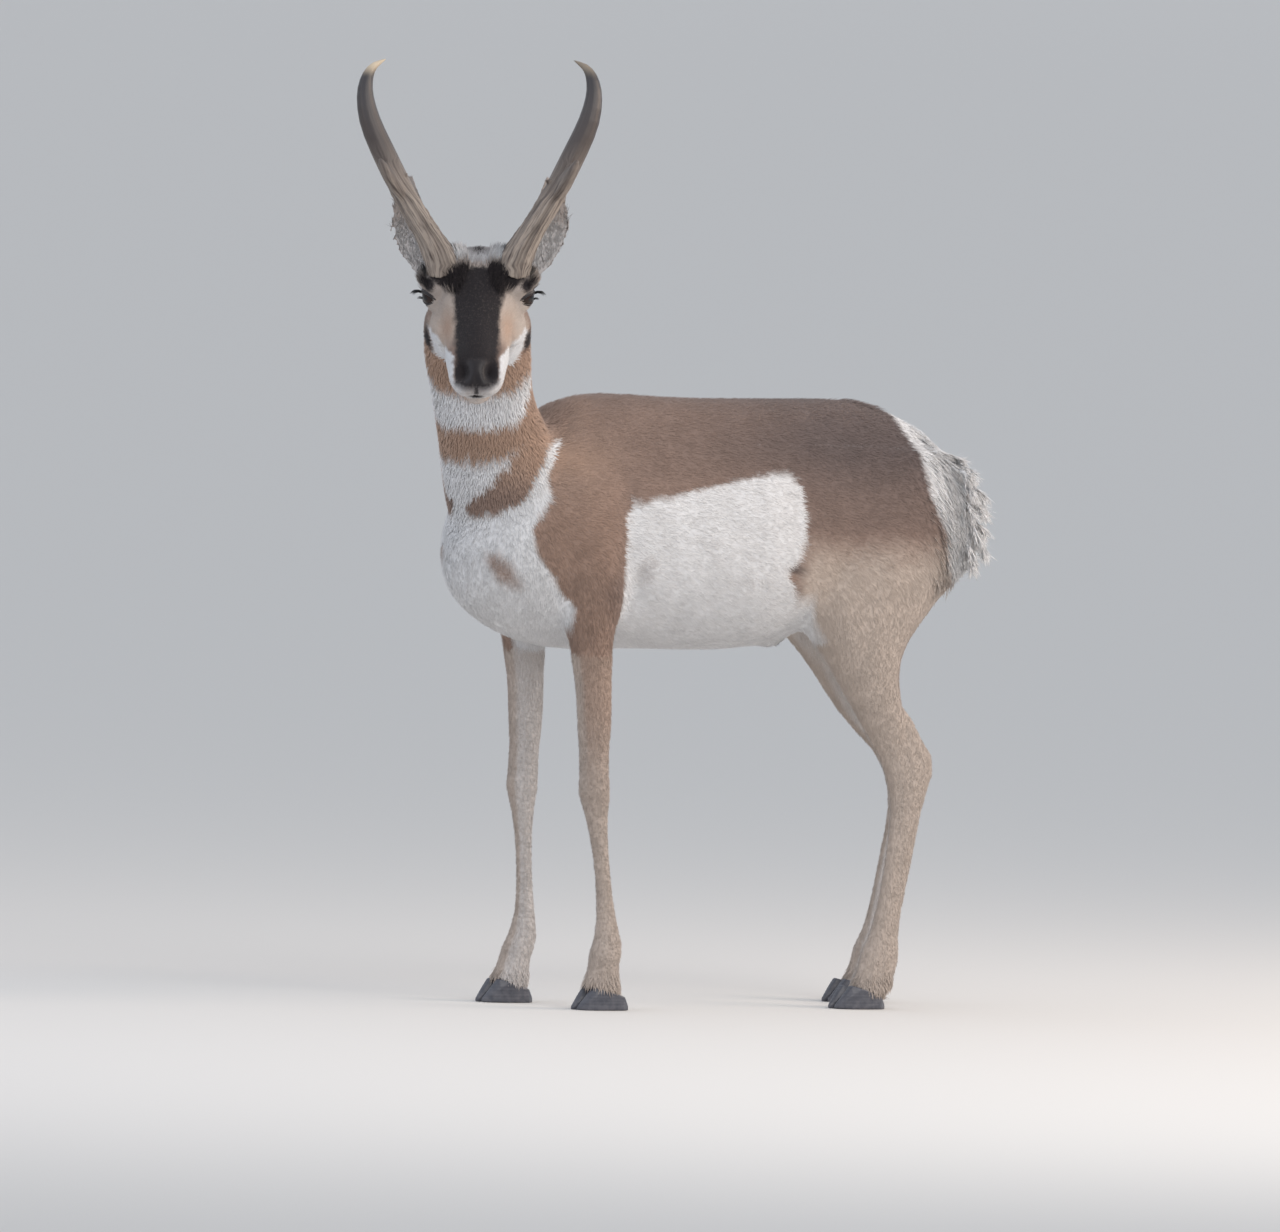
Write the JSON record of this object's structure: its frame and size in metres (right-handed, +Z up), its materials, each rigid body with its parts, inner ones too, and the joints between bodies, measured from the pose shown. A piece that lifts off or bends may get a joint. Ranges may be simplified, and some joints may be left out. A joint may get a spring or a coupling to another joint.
{
  "type": "pronghorn buck model",
  "caption": "Life-size standing pronghorn buck with its head turned to the left, black pronged horns, cupped ears, slender legs and cloven hooves.",
  "frame": {"origin": "on the ground under the middle of the whole animal", "axes": "+Z up, the body faces -Y, and the animal's left side is +X"},
  "size_m": [0.401, 1.106, 1.3242],
  "materials": {
    "coat_brown": "short dense cinnamon brown hair, matte",
    "coat_white": "long dense white hair, matte",
    "coat_buff": "short pale buff hair, matte",
    "horn": "ridged dark keratin, satin",
    "hoof": "blue black keratin, satin",
    "eye": "wet dark brown, glossy"
  },
  "bodies": {
    "root": {"torso": "coat_brown", "neck": "coat_brown", "head": "coat_brown", "tail": "coat_white", "fore_leg_left_upper": "coat_buff", "fore_leg_left_lower": "coat_buff", "hind_leg_left_upper": "coat_buff", "hind_leg_left_lower": "coat_buff", "fore_leg_right_upper": "coat_buff", "fore_leg_right_lower": "coat_buff", "hind_leg_right_upper": "coat_buff", "hind_leg_right_lower": "coat_buff", "fore_claw_left_inner": "hoof", "fore_claw_left_outer": "hoof", "hind_claw_left_inner": "hoof", "hind_claw_left_outer": "hoof", "fore_claw_right_inner": "hoof", "fore_claw_right_outer": "hoof", "hind_claw_right_inner": "hoof", "hind_claw_right_outer": "hoof", "horn_left": "horn", "horn_right": "horn", "ear_left": "coat_brown", "ear_right": "coat_brown", "eye_left": "eye", "eye_right": "eye"}
  },
  "joints": []
}
